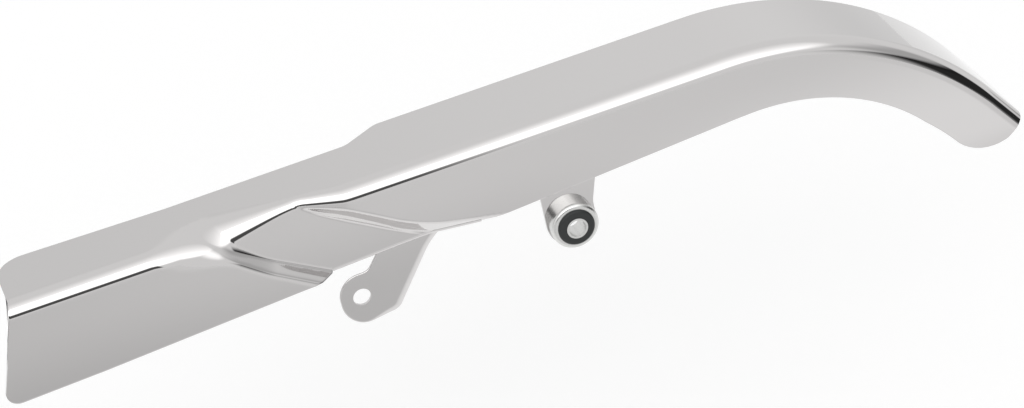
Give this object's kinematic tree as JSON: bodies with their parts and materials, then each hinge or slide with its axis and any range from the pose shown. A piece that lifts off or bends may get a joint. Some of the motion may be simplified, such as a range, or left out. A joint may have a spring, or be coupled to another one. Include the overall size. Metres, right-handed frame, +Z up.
{
  "type": "motorcycle belt guard",
  "caption": "Bent chrome sheet guard that covers the upper run of a motorcycle's final-drive belt, with a front bolt tab and a rear rubber-bushed ear.",
  "frame": {"origin": "middle of the rear bush's sleeve bore, on its axis", "axes": "+X towards the motorcycle's rear along the straight top plate, -Y outboard along the rear bush's axis, +Z up, square to the top plate"},
  "size_m": [0.6045, 0.0702, 0.1136],
  "materials": {
    "chrome": "polished",
    "rubber": "matte",
    "steel": "satin"
  },
  "bodies": {
    "root": {"guard_shell": "chrome", "rear_ear": "chrome", "bush_collar": "chrome", "rubber_bush": "rubber", "bush_sleeve": "steel"}
  },
  "joints": []
}
